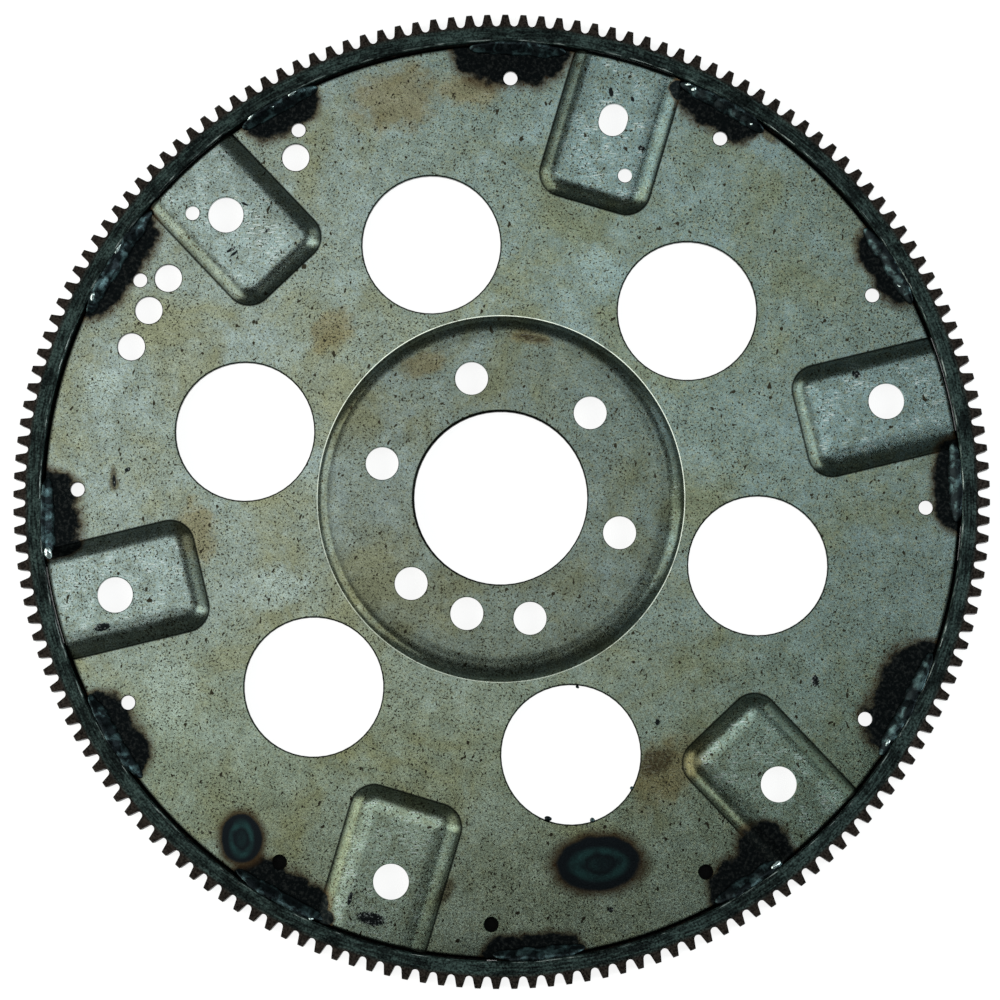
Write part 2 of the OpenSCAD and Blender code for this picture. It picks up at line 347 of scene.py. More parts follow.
palePatches = [
    {"centre": (-86.8, -33.7), "half": (13, 9), "turn": 20},
    {"centre": (-121.7, -72.3), "half": (9, 14), "turn": 20},
    {"centre": (36.5, 85.2), "half": (14, 9), "turn": -15},
    {"centre": (-146.0, 44.0), "half": (7, 15), "turn": -10},
]
brownSmears = [
    {"centre": (56.7, -96.9), "half": (8, 4.5), "turn": 30},
    {"centre": (-142.7, 7.9), "half": (1.4, 5.0), "turn": 5},
    {"centre": (-142.4, 5.6), "half": (2.2, 2.6), "turn": 0},
    {"centre": (11.5, 59.0), "half": (5.5, 1.3), "turn": -10},
    {"centre": (-20.0, -144.0), "half": (2.6, 5.0), "turn": -25},
    {"centre": (99.0, 134.0), "half": (4.0, 2.0), "turn": -40},
]
gouges = [
    {"centre": (115.2, -67.1), "half": (1.4, 2.3), "turn": 8},
    {"centre": (130.6, 45.4), "half": (1.8, 1.3), "turn": -20},
    {"centre": (57.4, -82.2), "half": (0.9, 1.2), "turn": 0},
    {"centre": (-137.6, 10.8), "half": (1.3, 0.9), "turn": 30},
    {"centre": (-142.5, 6.6), "half": (0.7, 2.4), "turn": 5},
    {"centre": (-47.4, -153.9), "half": (5.6, 2.5), "turn": -12},
    {"centre": (-55.0, -146.4), "half": (0.8, 2.8), "turn": -14},
    {"centre": (-146.3, -47.3), "half": (3.2, 1.6), "turn": 10},
    {"centre": (40.2, -150.6), "half": (1.1, 1.0), "turn": 0},
    {"centre": (52.0, 129.4), "half": (1.6, 1.0), "turn": -20},
    {"centre": (40.8, 150.2), "half": (0.9, 1.9), "turn": 10},
    {"centre": (48.7, 147.6), "half": (0.6, 1.2), "turn": 20},
    {"centre": (-99.6, 92.0), "half": (2.0, 0.6), "turn": 32},
    {"centre": (-98.4, 90.6), "half": (1.7, 0.5), "turn": 36},
    {"centre": (-86.2, 99.0), "half": (1.4, 0.5), "turn": 40},
    {"centre": (-94.6, 109.0), "half": (1.5, 0.5), "turn": -30},
]

# a pad's top that was struck many times
hammered = {"centre": (-88.0, 97.0), "half": (15, 9), "turn": -50}

# painted shade of the pilot bore's wall: a dark edge, wider on its upper left side
boreWallShade = {"centre": (-0.20, 0.20), "half": (32.50, 32.50), "turn": 0}

discFinish = {
    "grey": (0.206, 0.252, 0.216),
    "paleBlue": (0.242, 0.302, 0.284),
    "olive": (0.194, 0.204, 0.124),
    "padBlue": (0.240, 0.312, 0.298),
    "tealTint": (0.72, 0.82, 0.86),
    "oliveTint": (1.02, 1.02, 0.86),
    "palePatch": (0.285, 0.355, 0.330),
    "rust": (0.165, 0.140, 0.066),
    "smear": (0.048, 0.036, 0.018),
    "speck": (0.024, 0.022, 0.014),
    "gouge": (0.0090, 0.0110, 0.0115),
    "soot": (0.0034, 0.0046, 0.0050),
    "crust": (0.0150, 0.0170, 0.0165),
    "scorch": (0.040, 0.023, 0.010),
    "heatBlue": (0.0090, 0.0118, 0.0140),
    "heatTeal": (0.020, 0.056, 0.054),
    # the next colour paints a highlight at the foot of the raised centre, partly a burnished edge
    "burnishAndHighlight": (0.80, 0.86, 0.74),
    "scratch": (0.46, 0.52, 0.50),
    # the next colour paints shade in the creases, the joint with the ring and the holes' walls, with some
    # grime
    "creaseGrimeAndShade": (0.0040, 0.0046, 0.0036),
    "centreTone": 0.76,
    # the next value paints shade on the drawn walls
    "wallShade": 0.5,
    "padSoftness": 0.25,     # mm by which the shoulders are rounded off
    "centreSoftness": 0.14,
    "patchesPerMm": 0.050,
    "olivePerMm": 0.026,
    "cloudsPerMm": 0.17,
    "raggedPerMm": 0.16,
    "crumbsPerMm": 0.85,
    "grainPerMm": 1.9,
    "pitsPerMm": 1.45,
    "flecksPerMm": 0.55,
    "roughness": 0.34,
    "roughGrain": (0.19, 0.29),
    "sootRoughness": 0.12,
}


def makeDiscFinish():
    finish, tree, shader = newFinish("discSteel", 1.0, discFinish["roughness"])
    spot = plateCoords(tree)
    at = spot["grainAt"]
    radius = spot["radius"]
    padEdge = padField(tree, spot)
    onPad = fade(tree, padEdge, -3.5, -6.8)
    # broad patches of pale blue, and olive that gathers towards the centre
    patches = grain(tree, at, discFinish["patchesPerMm"], 4.0, 0.66, 0.5)
    olive = grain(tree, stretched(tree, at, (1, 1, 1), 40), discFinish["olivePerMm"], 4.0, 0.66, 0.5)
    olive = calc(tree, "ADD", olive, fade(tree, radius, 140.0, 85.0, 0.0, 0.05))
    colour = blendColour(tree, fade(tree, patches, 0.44, 0.68), discFinish["grey"], discFinish["paleBlue"])
    colour = blendColour(tree, fade(tree, olive, 0.47, 0.70, 0.0, 0.9), colour, discFinish["olive"])
    pale = calc(tree, "ADD", nearestOval(tree, spot, palePatches), swing(tree, patches, 1.6))
    colour = blendColour(tree, fade(tree, pale, 1.25, 0.55, 0.0, 0.8), colour, discFinish["palePatch"])
    # the pads are rubbed pale
    cloudy = grain(tree, at, discFinish["cloudsPerMm"], 3.0, 0.62)
    worn = calc(tree, "MULTIPLY", onPad, fade(tree, cloudy, 0.36, 0.58, 0.50, 1.0))
    colour = blendColour(tree, worn, colour, discFinish["padBlue"])
    # the upper right leans to teal and the lower edge to olive
    side = calc(tree, "MULTIPLY_ADD", spot["y"], 0.50, spot["x"])
    colour = blendColour(tree, fade(tree, side, -70.0, 120.0), colour, discFinish["tealTint"], "MULTIPLY")
    lower = fade(tree, spot["y"], -20.0, -110.0)
    colour = blendColour(tree, lower, colour, discFinish["oliveTint"], "MULTIPLY")
    # rust patches and brown smears
    ragged = swing(tree, grain(tree, at, discFinish["raggedPerMm"], 4.0, 0.7), 0.9)
    rust = calc(tree, "ADD", nearestOval(tree, spot, rustPatches), ragged)
    colour = blendColour(tree, fade(tree, rust, 1.25, 0.55, 0.0, 0.75), colour, discFinish["rust"])
    smear = calc(tree, "MULTIPLY_ADD", ragged, 0.6, nearestOval(tree, spot, brownSmears))
    colour = blendColour(tree, fade(tree, smear, 1.30, 0.60, 0.0, 0.85), colour, discFinish["smear"])
    # fine grain of the rolled sheet, with brownish crumbs in it
    crumbs = grain(tree, stretched(tree, at, (1, 1, 1), 17), discFinish["crumbsPerMm"], 2.0, 0.65)
    colour = blendColour(tree, fade(tree, crumbs, 0.46, 0.68, 0.0, 0.55), colour, discFinish["olive"])
    fine = grain(tree, at, discFinish["grainPerMm"], 2.0, 0.7)
    colour = blendColour(tree, 1.0, colour, fade(tree, fine, 0.28, 0.72, 0.58, 1.40), "MULTIPLY")
    colour = blendColour(tree, 1.0, colour, fade(tree, cloudy, 0.30, 0.70, 0.88, 1.12), "MULTIPLY")
    centreTone = fade(tree, radius, centreFoot - 1.4, centreFoot + 1.6, discFinish["centreTone"], 1.0)
    colour = blendColour(tree, 1.0, colour, centreTone, "MULTIPLY")
    # painted shade: the drawn walls of the pads and of the centre are darkened to half the flats' tone, so
    # that they stay dark
    insideFoot = fade(tree, padEdge, 0.3, -0.3)
    padWall = calc(tree, "MULTIPLY", fade(tree, padEdge, -padShape["wall"], -4.5), insideFoot)
    centreWall = calc(tree, "MULTIPLY", fade(tree, radius, centreShoulder, centreShoulder + 2.5),
                      fade(tree, radius, centreFoot + 0.2, centreFoot - 0.1))
    drawnWall = calc(tree, "MAXIMUM", padWall, centreWall)
    wallShade = calc(tree, "MULTIPLY_ADD", drawnWall, discFinish["wallShade"] - 1, 1.0)
    colour = blendColour(tree, 1.0, colour, wallShade, "MULTIPLY")
    # light scratches, most of them on the pads
    scored = grain(tree, stretched(tree, spot["at"], (0.30, 1.7, 1), 33), 1.0, 1.0)
    crossed = grain(tree, stretched(tree, spot["at"], (0.22, 1.9, 1), -52), 1.0, 1.0)
    scored = calc(tree, "MAXIMUM", scored, crossed)
    shoulder = offLine(tree, padEdge, -padShape["wall"] - 0.4)
    rubbed = calc(tree, "MAXIMUM", onPad, fade(tree, shoulder, 1.6, 0.3))
    rubbed = calc(tree, "MULTIPLY_ADD", rubbed, 0.70, 0.12)
    rubbed = calc(tree, "MULTIPLY", fade(tree, cloudy, 0.44, 0.62), rubbed)
    rubbed = calc(tree, "MAXIMUM", rubbed, fade(tree, ovalField(tree, spot, hammered), 1.1, 0.4))
    scratch = calc(tree, "MULTIPLY", fade(tree, scored, 0.58, 0.70), rubbed)
    colour = blendColour(tree, scratch, colour, discFinish["scratch"])
    # dark pits, thicker in some places, and a few long flecks
    density = fade(tree, patches, 0.62, 0.38, -0.01, 0.03)
    pits = calc(tree, "ADD", grain(tree, at, discFinish["pitsPerMm"], 1.0, 0.6), density)
    pitted = fade(tree, pits, 0.598, 0.672, 0.0, 0.95)
    flecks = grain(tree, stretched(tree, at, (1.0, 0.60, 1), 30), discFinish["flecksPerMm"], 1.0)
    pitted = calc(tree, "MAXIMUM", pitted, fade(tree, flecks, 0.700, 0.740))
    scuffed = calc(tree, "MULTIPLY_ADD", swing(tree, fine, 1.0), 0.4, nearestOval(tree, spot, gouges))
    scuffed = fade(tree, scuffed, 1.10, 0.80)
    colour = blendColour(tree, pitted, colour, discFinish["speck"])
    colour = blendColour(tree, scuffed, colour, discFinish["gouge"])
    streaked = calc(tree, "MULTIPLY", fade(tree, crumbs, 0.55, 0.68, 0.0, 0.5), scuffed)
    colour = blendColour(tree, streaked, colour, discFinish["scratch"])
    # painted shade, with some grime: dark along the foot of the pads and of the raised centre, in the joint
    # with the ring, round the bore and on the cut walls of the holes, where shade falls
    belowTop = fade(tree, spot["z"], webTop / mm - 0.02, webTop / mm - 0.2)
    aboveUnderside = fade(tree, spot["z"], webUnder / mm + 0.02, webUnder / mm + 0.2)
    cutWall = calc(tree, "MINIMUM", belowTop, aboveUnderside)
    shadeAndGrime = fade(tree, offLine(tree, padEdge, -0.1), 0.65, 0.15, 0.0, 0.9)
    for shadeAndDirt in (
        calc(tree, "MULTIPLY", fade(tree, padEdge, -2.6, -0.4, 0.0, 0.55), insideFoot),
        fade(tree, offLine(tree, radius, centreFoot - 0.7), 0.85, 0.30, 0.0, 0.15),
        fade(tree, radius, rimRadius - 1.9, rimRadius - 0.9, 0.0, 0.96),
        fade(tree, ovalField(tree, spot, boreWallShade), 1.004, 0.994),
        calc(tree, "MULTIPLY", cutWall, 0.9),
    ):
        shadeAndGrime = calc(tree, "MAXIMUM", shadeAndGrime, shadeAndDirt)
    colour = blendColour(tree, shadeAndGrime, colour, discFinish["creaseGrimeAndShade"])
    # painted highlight: a bright line at the foot of the raised centre, partly a burnished edge, brightest
    # towards the upper right and broken here and there
    line = offLine(tree, radius, centreFoot + 0.25)
    footHighlight = fade(tree, angleFrom(tree, spot, 60.0), 60.0, 150.0, 1.0, 0.45)
    footHighlight = calc(tree, "MULTIPLY", footHighlight, fade(tree, cloudy, 0.30, 0.50, 0.45, 1.0))
    footHighlight = calc(tree, "MULTIPLY", footHighlight, fade(tree, line, 0.20, 0.07))
    colour = blendColour(tree, footHighlight, colour, discFinish["burnishAndHighlight"])
    # soot round the ring welds and on a few corners of the pads
    field = nearestOval(tree, spot, sootyCorners)
    field = calc(tree, "MULTIPLY", field, field)
    for weld in ringWelds:
        first, last = weld["soot"]
        along = calc(tree, "DIVIDE", angleFrom(tree, spot, (first + last) / 2), (last - first) / 2)
        inward = calc(tree, "DIVIDE", calc(tree, "SUBTRACT", rimRadius, radius), weld["reach"])
        here = calc(tree, "ADD", calc(tree, "POWER", along, 4.0), calc(tree, "MULTIPLY", inward, inward))
        field = calc(tree, "MINIMUM", field, here)
    frayed = swing(tree, grain(tree, at, discFinish["raggedPerMm"], 5.0, 0.68), 0.80)
    sootEdge = calc(tree, "ADD", field, frayed)
    burnt = fade(tree, sootEdge, 1.80, 0.95, 0.0, 0.80)
    sooty = fade(tree, sootEdge, 1.20, 0.84)
    tar = blendColour(tree, fade(tree, crumbs, 0.46, 0.70), discFinish["soot"], discFinish["crust"])
    colour = blendColour(tree, burnt, colour, discFinish["scorch"])
    colour = blendColour(tree, sooty, colour, tar)
    # ovals that the heat of the weight's welds left
    for mark in heatMarks:
        oval = calc(tree, "MULTIPLY_ADD", swing(tree, patches, 1.0), 0.22, ovalField(tree, spot, mark))
        colour = blendColour(tree, fade(tree, oval, 1.40, 0.98, 0.0, 0.9), colour, discFinish["scorch"])
        colour = blendColour(tree, fade(tree, oval, 1.05, 0.92), colour, discFinish["heatBlue"])
        halo = ovalField(tree, spot, {**mark, "half": mark["ring"]})
        halo = calc(tree, "MULTIPLY_ADD", swing(tree, cloudy, 1.0), 0.25, halo)
        rings = fade(tree, offLine(tree, halo, 1.0), 0.42, 0.0, 0.0, 0.85)
        rings = calc(tree, "MAXIMUM", rings, fade(tree, halo, 0.75, 0.2, 0.0, 0.35))
        rings = calc(tree, "MULTIPLY", rings, fade(tree, cloudy, 0.36, 0.60, 0.35, 1.0))
        colour = blendColour(tree, rings, colour, discFinish["heatTeal"])
    tree.links.new(colour, shader.inputs["Base Color"])
    rough = fade(tree, fine, 0.2, 0.8, *discFinish["roughGrain"])
    rough = calc(tree, "ADD", rough, calc(tree, "MULTIPLY", sooty, discFinish["sootRoughness"]))
    tree.links.new(rough, shader.inputs["Roughness"])
    # the shoulders of the pads and of the raised centre start softly
    drawn = fade(tree, padEdge, -4.5, -10.5, 0.0, discFinish["padSoftness"])
    dip = calc(tree, "SUBTRACT", fade(tree, radius, centreShoulder + 1.0, centreFoot + 0.2),
               fade(tree, radius, centreShoulder - 3.5, centreShoulder + 1.0))
    drawn = calc(tree, "MULTIPLY_ADD", dip, discFinish["centreSoftness"], drawn)
    soft = roughen(tree, shader, drawn, 1.0, 1.0)
    roughen(tree, shader, fine, 0.15, 0.03, soft)
    return finish


ringFinish = {
    "dark": (0.0070, 0.0100, 0.0098),
    "teal": (0.035, 0.055, 0.051),
    "tooth": (0.0210, 0.0170, 0.0145),
    "crumb": (0.060, 0.055, 0.048),
    # the next colour paints a highlight on the ring's inner upper edge, partly wear
    "scuffAndHighlight": (0.30, 0.34, 0.33),
    "roughness": 0.42,
    "roughGrain": (0.34, 0.56),
}


def makeRingFinish():
    finish, tree, shader = newFinish("ringSteel", 1.0, ringFinish["roughness"])
    spot = plateCoords(tree)
    at = spot["grainAt"]
    # streaks that run round the ring
    around = tree.nodes.new("ShaderNodeCombineXYZ")
    tree.links.new(calc(tree, "MULTIPLY", spot["angle"], 0.55), around.inputs["X"])
    tree.links.new(calc(tree, "MULTIPLY", spot["radius"], 1.9), around.inputs["Y"])
    tree.links.new(spot["z"], around.inputs["Z"])
    streaks = grain(tree, around.outputs["Vector"], 0.7, 3.0, 0.65)
    clouds = grain(tree, at, 0.09, 4.0, 0.65)
    tone = calc(tree, "MULTIPLY_ADD", streaks, 0.5, calc(tree, "MULTIPLY", clouds, 0.5))
    colour = blendColour(tree, fade(tree, tone, 0.42, 0.60), ringFinish["dark"], ringFinish["teal"])
    # brownish teeth with crumbs of scale
    uneven = calc(tree, "ADD", spot["radius"], swing(tree, clouds, 1.2))
    toothZone = fade(tree, uneven, toothRoot - 1.4, toothRoot + 0.6)
    colour = blendColour(tree, toothZone, colour, ringFinish["tooth"])
    fine = grain(tree, at, 1.35, 2.0, 0.6)
    colour = blendColour(tree, 1.0, colour, fade(tree, fine, 0.27, 0.73, 0.25, 1.85), "MULTIPLY")
    colour = blendColour(tree, fade(tree, fine, 0.66, 0.76, 0.0, 0.6), colour, ringFinish["crumb"])
    # painted highlight along the inner upper edge, in places, partly wear that rubbed it bright
    atTop = fade(tree, spot["z"], ringTop / mm - 0.6, ringTop / mm - 0.1)
    scuffHighlight = fade(tree, offLine(tree, spot["radius"], ringBore + 0.45), 0.30, 0.12)
    scuffHighlight = calc(tree, "MULTIPLY", calc(tree, "MULTIPLY", scuffHighlight, atTop), fade(tree, streaks, 0.52, 0.64))
    colour = blendColour(tree, scuffHighlight, colour, ringFinish["scuffAndHighlight"])
    tree.links.new(colour, shader.inputs["Base Color"])
    tree.links.new(fade(tree, fine, 0.2, 0.8, *ringFinish["roughGrain"]), shader.inputs["Roughness"])
    roughen(tree, shader, fine, 0.35, 0.04)
    return finish


weightFinish = {
    "scale": (0.030, 0.033, 0.034),
    "worn": (0.105, 0.108, 0.102),
    "rust": (0.075, 0.045, 0.024),
    # the next colour also paints the shade on the face against the disc
    "soot": (0.0045, 0.0045, 0.0045),
    "roughness": 0.5,
    "roughGrain": (0.42, 0.62),
}


def makeWeightFinish():
    finish, tree, shader = newFinish("weightSteel", 1.0, weightFinish["roughness"])
    spot = plateCoords(tree)
    at = spot["grainAt"]
    clouds = grain(tree, at, 0.12, 5.0, 0.65, 0.4)
    colour = blendColour(tree, fade(tree, clouds, 0.48, 0.68), weightFinish["scale"], weightFinish["worn"])
    rusty = grain(tree, stretched(tree, at, (1, 1, 1), 25), 0.22, 5.0, 0.7)
    colour = blendColour(tree, fade(tree, rusty, 0.55, 0.70, 0.0, 0.7), colour, weightFinish["rust"])
    fine = grain(tree, at, 1.5, 2.0, 0.6)
    colour = blendColour(tree, 1.0, colour, fade(tree, fine, 0.25, 0.75, 0.5, 1.5), "MULTIPLY")
    # the face against the disc is painted black: painted shade where it shows at the bottom of the small
    # holes, and welding soot
    hiddenFaceShade = fade(tree, spot["z"], webUnder / mm - 0.4, webUnder / mm - 0.2)
    colour = blendColour(tree, hiddenFaceShade, colour, weightFinish["soot"])
    tree.links.new(colour, shader.inputs["Base Color"])
    tree.links.new(fade(tree, fine, 0.2, 0.8, *weightFinish["roughGrain"]), shader.inputs["Roughness"])
    roughen(tree, shader, fine, 0.4, 0.04)
    return finish


weldFinish = {"black": (0.0085, 0.0115, 0.0130), "teal": (0.055, 0.092, 0.098), "roughness": 0.30}
dropFinish = {"steel": (0.52, 0.62, 0.62), "stain": (0.060, 0.085, 0.088), "roughness": 0.20}
# the joint's fill is dark: painted shade in the joint, with grime and scale
grimeAndShadeFinish = {"black": (0.0052, 0.0056, 0.0056), "brown": (0.018, 0.012, 0.008), "roughness": 0.7}


def twoToneFinish(name, settings, lower, upper, perMm, start, end):
    finish, tree, shader = newFinish(name, 1.0, settings["roughness"])
    at = plateCoords(tree)["grainAt"]
    clouds = grain(tree, at, perMm, 4.0, 0.6, 0.4)
    colour = blendColour(tree, fade(tree, clouds, start, end), settings[lower], settings[upper])
    tree.links.new(colour, shader.inputs["Base Color"])
    low, high = 0.7 * settings["roughness"], min(1.0, 1.4 * settings["roughness"])
    tree.links.new(fade(tree, grain(tree, at, 0.8, 2.0), 0.3, 0.7, low, high), shader.inputs["Roughness"])
    return finish


discSteel = makeDiscFinish()
ringSteel = makeRingFinish()
weightSteel = makeWeightFinish()
weldMetal = twoToneFinish("weldMetal", weldFinish, "black", "teal", 0.22, 0.46, 0.66)
dropSteel = twoToneFinish("dropSteel", dropFinish, "steel", "stain", 0.9, 0.50, 0.66)
jointGrimeAndShade = twoToneFinish("jointGrimeAndShade", grimeAndShadeFinish, "black", "brown", 0.5, 0.50, 0.70)
print("finishes made")


disc = smoothCopy("disc", "stampedDisc", 30)
applyModifier(disc, "WEIGHTED_NORMAL", "flatFaces", keep_sharp=True, weight=80)
finishPiece(disc, discSteel, "disc_steel", "disc")
ring = smoothCopy("ring_gear", "toothedRing", 25)
finishPiece(ring, ringSteel, "ring_steel", "ring_gear")
weight = smoothCopy("balance_weight", "balanceWeight", 30)
finishPiece(weight, weightSteel, "weight_steel", "balance_weight")
print("disc, ring and weight made")


# weld metal: puddles that overlap and are melted into one skin

def onCircle(radius, angle, height):
    turned = math.radians(angle)
    return radius * math.cos(turned), radius * math.sin(turned), height


def emptyMesh(name):
    deselectAll()
    bpy.ops.mesh.primitive_uv_sphere_add(segments=8, ring_count=6, radius=mm)
    piece = bpy.context.object
    piece.name = name
    piece.data.name = name
    bpy.ops.object.mode_set(mode="EDIT")
    bpy.ops.mesh.delete(type="VERT")
    return piece


def puddle(at, halfSize, turn, tilt=0.0, lean=0.0):
    bpy.ops.mesh.primitive_uv_sphere_add(
        segments=24, ring_count=14, radius=1,
        location=[value * mm for value in at],
        scale=[value * mm for value in halfSize],
        rotation=(math.radians(lean), math.radians(tilt), math.radians(turn)))


def meltTogether(piece, voxel, smoothing):
    bpy.ops.object.mode_set(mode="OBJECT")
    placeInMesh(piece)
    applyModifier(piece, "REMESH", "melt", mode="VOXEL", voxel_size=voxel * mm, use_smooth_shade=True)
    applyModifier(piece, "SMOOTH", "settle", factor=0.5, iterations=smoothing)


def cutFlat(piece, height, keepAbove):
    makeActive(piece)
    bpy.ops.object.mode_set(mode="EDIT")
    bpy.ops.mesh.select_all(action="SELECT")
    bpy.ops.mesh.bisect(
        plane_co=(0, 0, height), plane_no=(0, 0, 1), use_fill=True,
        clear_inner=keepAbove, clear_outer=not keepAbove)
    bpy.ops.object.mode_set(mode="OBJECT")
    bpy.ops.object.shade_smooth_by_angle(angle=math.radians(50))


beadShape = {
    "radius": 167.2,       # mm from the axis to the middle of the puddles
    "rise": 0.75,          # mm from the web's face to the middle of the puddles
    "half": (3.2, 6.0, 1.40),
    "tilt": -30,           # degrees by which a puddle climbs towards the ring
    "pitch": 3.4,          # mm between puddles
    "sunk": 0.3,           # mm that the bead reaches into the sheet
    "driftUp": 0.2,        # mm by which puddles stray
    "driftAside": 0.4,
    "lengths": (0.8, 1.1),
    "voxel": 0.26,
    "smoothing": 14,
}
beadEnds = {"size": 0.60, "growth": 2.2, "unevenness": (0.94, 1.06)}


# sizes along a bead: it starts and ends thin, and no two puddles are alike
def swell(draw, share):
    taper = min(1.0, beadEnds["size"] + beadEnds["growth"] * min(share, 1 - share))
    return taper * draw.uniform(*beadEnds["unevenness"])


def ringBead(number, weld):
    draw = random.Random(number)
    first, last = weld["bead"]
    across, along, high = beadShape["half"]
    count = round(math.radians(last - first) * beadShape["radius"] / beadShape["pitch"])
    piece = emptyMesh(f"weldBead{number:02d}")
    for i in range(count):
        share = (i + 0.5) / count
        angle = first + (last - first) * share
        size = swell(draw, share)
        height = webTop / mm + beadShape["rise"] + draw.uniform(-beadShape["driftUp"], beadShape["driftUp"])
        radius = beadShape["radius"] + draw.uniform(-beadShape["driftAside"], beadShape["driftAside"])
        length = along * draw.uniform(*beadShape["lengths"])
        half = (across * size, length, high * size)
        puddle(onCircle(radius, angle, height), half, angle, beadShape["tilt"])
    meltTogether(piece, beadShape["voxel"], beadShape["smoothing"])
    cutFlat(piece, webTop - beadShape["sunk"] * mm, True)
    finishPiece(piece, weldMetal, "weld_metal", f"ring_weld_{number}")


for number, weld in enumerate(ringWelds, 1):
    ringBead(number, weld)
print("ring welds made")


# beads under the disc that hold the weight: one across each end and one along the inner edge
weightBead = {
    "seed": 40,
    "middle": -91.3,       # degrees, with the angle that the weight covers
    "span": 69.0,
    "innerRadius": 141.3,  # mm
    "outerRadius": 166.0,
    "endLength": 17.0,
    "innerMiddle": -75.0,  # degrees
    "innerSpan": 9.0,
    "half": (2.7, 2.3, 1.5),
    "offset": 1.25,        # mm from the corner to the middle of the puddles
    "tilt": -45,           # degrees
    "lean": 10,
    "pitch": 2.1,          # mm
    "sunk": 0.3,
    "voxel": 0.24,
    "smoothing": 4,
}


def weightBeadSpots(side):
    middleRadius = (weightBead["innerRadius"] + weightBead["outerRadius"]) / 2
    endAngle = weightBead["middle"] + side * weightBead["span"] / 2
    if side:
        count = round(weightBead["endLength"] / weightBead["pitch"])
        for i in range(count):
            share = (i + 0.5) / count
            radius = middleRadius + (share - 0.5) * weightBead["endLength"]
            away = math.degrees(weightBead["offset"] / radius) * side
            yield share, radius, endAngle + away, endAngle + 90 * side
    else:
        run = math.radians(weightBead["innerSpan"]) * weightBead["innerRadius"]
        count = round(run / weightBead["pitch"])
        for i in range(count):
            share = (i + 0.5) / count
            angle = weightBead["innerMiddle"] + (share - 0.5) * weightBead["innerSpan"]
            yield share, weightBead["innerRadius"] - weightBead["offset"], angle, angle + 180


def makeWeightBead(name, side, nodeName):
    draw = random.Random(weightBead["seed"] + side)
    across, along, high = weightBead["half"]
    height = webUnder / mm - weightBead["offset"]
    piece = emptyMesh(name)
    for share, radius, angle, turn in weightBeadSpots(side):
        size = swell(draw, share)
        puddle(onCircle(radius, angle, height), (across * size, along, high * size),
               turn, weightBead["tilt"], weightBead["lean"])
    meltTogether(piece, weightBead["voxel"], weightBead["smoothing"])
    cutFlat(piece, webUnder + weightBead["sunk"] * mm, False)
    finishPiece(piece, weldMetal, "weld_metal", nodeName)


makeWeightBead("weightBeadLeft", -1, "weight_weld_left")
makeWeightBead("weightBeadRight", 1, "weight_weld_right")
makeWeightBead("weightBeadInner", 0, "weight_weld_inner")
print("weight welds made")


# bright drops on the ring welds, most of them at the ends, and dark spatter round one lightening hole
brightDrops = [
    {"radius": 167.6, "angle": 64.7, "half": (1.1, 0.8, 0.8)},
    {"radius": 168.2, "angle": 65.6, "half": (0.7, 0.9, 0.7)},
    {"radius": 166.7, "angle": 56.2, "half": (0.7, 0.5, 0.5)},
    {"radius": 167.7, "angle": 186.9, "half": (1.7, 2.5, 1.4)},
    {"radius": 168.9, "angle": 245.7, "half": (0.6, 0.8, 0.6)},
    {"radius": 167.8, "angle": 306.8, "half": (1.0, 2.3, 0.9)},
    {"radius": 166.4, "angle": 28.0, "half": (0.5, 0.6, 0.5)},
    {"radius": 167.6, "angle": 327.6, "half": (0.7, 1.6, 0.6)},
    {"radius": 168.0, "angle": 120.2, "half": (0.5, 0.8, 0.5)},
    {"radius": 168.9, "angle": 117.2, "half": (0.4, 1.8, 0.4)},
    {"radius": 169.0, "angle": 123.2, "half": (0.4, 1.6, 0.4)},
    {"radius": 168.3, "angle": 153.6, "half": (0.8, 1.7, 0.8)},
    {"radius": 169.0, "angle": 146.8, "half": (0.4, 2.2, 0.4)},
]
darkSpatter = [
    {"at": (17.3, -117.4), "half": (0.9, 1.4, 0.9)},
    {"at": (33.5, -118.1), "half": (0.9, 1.1, 0.9)},
    {"at": (47.9, -106.3), "half": (0.7, 0.7, 0.7)},
    {"at": (28.0, -69.2), "half": (0.6, 0.6, 0.6)},
]
dropShape = {
    "seed": 7,
    "beadFoot": 163.0,     # mm from the axis, where a bead's face starts to climb
    "climb": 0.44,         # mm up for each mm outwards
    "lean": 25,            # degrees
    "sideSize": 0.7,       # of the smaller ball that is melted into each drop
    "spatterSideSize": 0.8,
    "voxel": 0.14,
    "smoothing": 2,
}


def smaller(half, share):
    return tuple(share * value for value in half)


def makeDrops():
    draw = random.Random(dropShape["seed"])
    piece = emptyMesh("brightDrops")
    for drop in brightDrops:
        radius, angle, half = drop["radius"], drop["angle"], drop["half"]
        height = webTop / mm + dropShape["climb"] * (radius - dropShape["beadFoot"])
        lean = draw.uniform(-dropShape["lean"], dropShape["lean"])
        puddle(onCircle(radius, angle, height), half, angle, lean=lean)
        side = smaller(half, dropShape["sideSize"])
        puddle(onCircle(radius - 0.4, angle + 0.2, height - 0.1), side, angle)
    meltTogether(piece, dropShape["voxel"], dropShape["smoothing"])
    finishPiece(piece, dropSteel, "weld_metal")
    piece = emptyMesh("darkSpatter")
    for ball in darkSpatter:
        x, y = ball["at"]
        turn = draw.uniform(0, 90)
        side = smaller(ball["half"], dropShape["spatterSideSize"])
        puddle((x, y, webTop / mm - 0.5), ball["half"], turn)
        puddle((x + 0.3, y - 0.2, webTop / mm - 0.9), side, -turn)
    meltTogether(piece, dropShape["voxel"], dropShape["smoothing"])
    finishPiece(piece, weldMetal, "weld_metal")


makeDrops()
print("drops and spatter made")


# a dark fill in the joint between disc and ring, painted shade in the joint and also scale and dirt packed
# there, open in a few short stretches
jointScaleAndShade = {
    "radii": (168.2, 169.05, 169.45),  # mm
    "below": 1.25,         # mm under the web's face
    "thickness": 0.9,
    "roughen": 0.07,
    "steps": 1440,
    "open": [(352.2, 356.4), (268.3, 269.4), (188.6, 198.2), (8.4, 20.6)],
}


